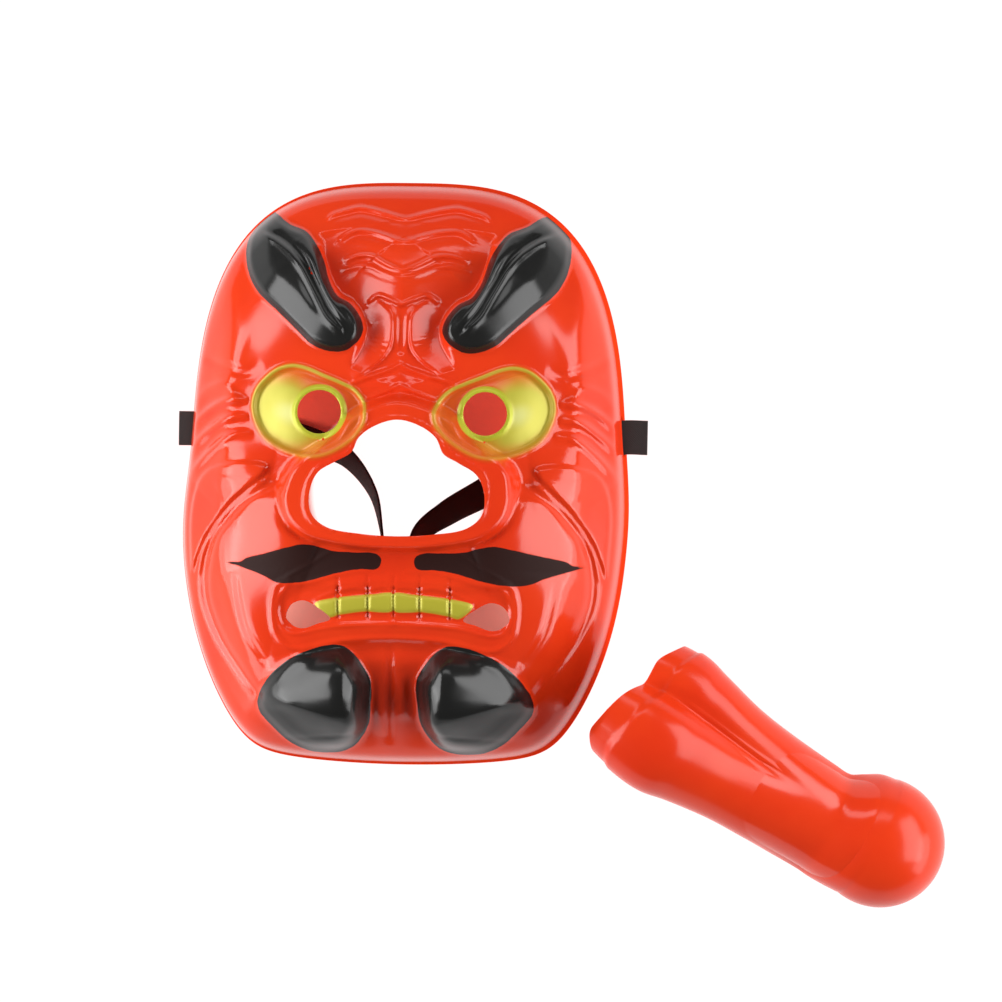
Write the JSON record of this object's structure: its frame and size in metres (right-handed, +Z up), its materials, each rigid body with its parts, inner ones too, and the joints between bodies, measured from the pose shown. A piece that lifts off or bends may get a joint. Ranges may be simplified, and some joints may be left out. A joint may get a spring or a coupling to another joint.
{
  "type": "tengu mask",
  "caption": "Red moulded plastic tengu party mask with scowling carved brows, a round-tipped pull-off nose lying beside it, and a black elastic head strap.",
  "frame": {"origin": "on the floor plane, in the middle of the mask and nose seen from above", "axes": "+Z up out of the face, away from the wearer; +Y to the forehead; +X to the viewer's right, where the nose lies"},
  "size_m": [0.3124, 0.2899, 0.0706],
  "materials": {
    "red_plastic": "gloss red PVC sheet with black and gold paint",
    "nose_plastic": "gloss red PVC",
    "strap_elastic": "matt woven elastic"
  },
  "bodies": {
    "root": {"mask_shell": "red_plastic", "detachable_nose": "nose_plastic", "elastic_strap": "strap_elastic"}
  },
  "joints": []
}
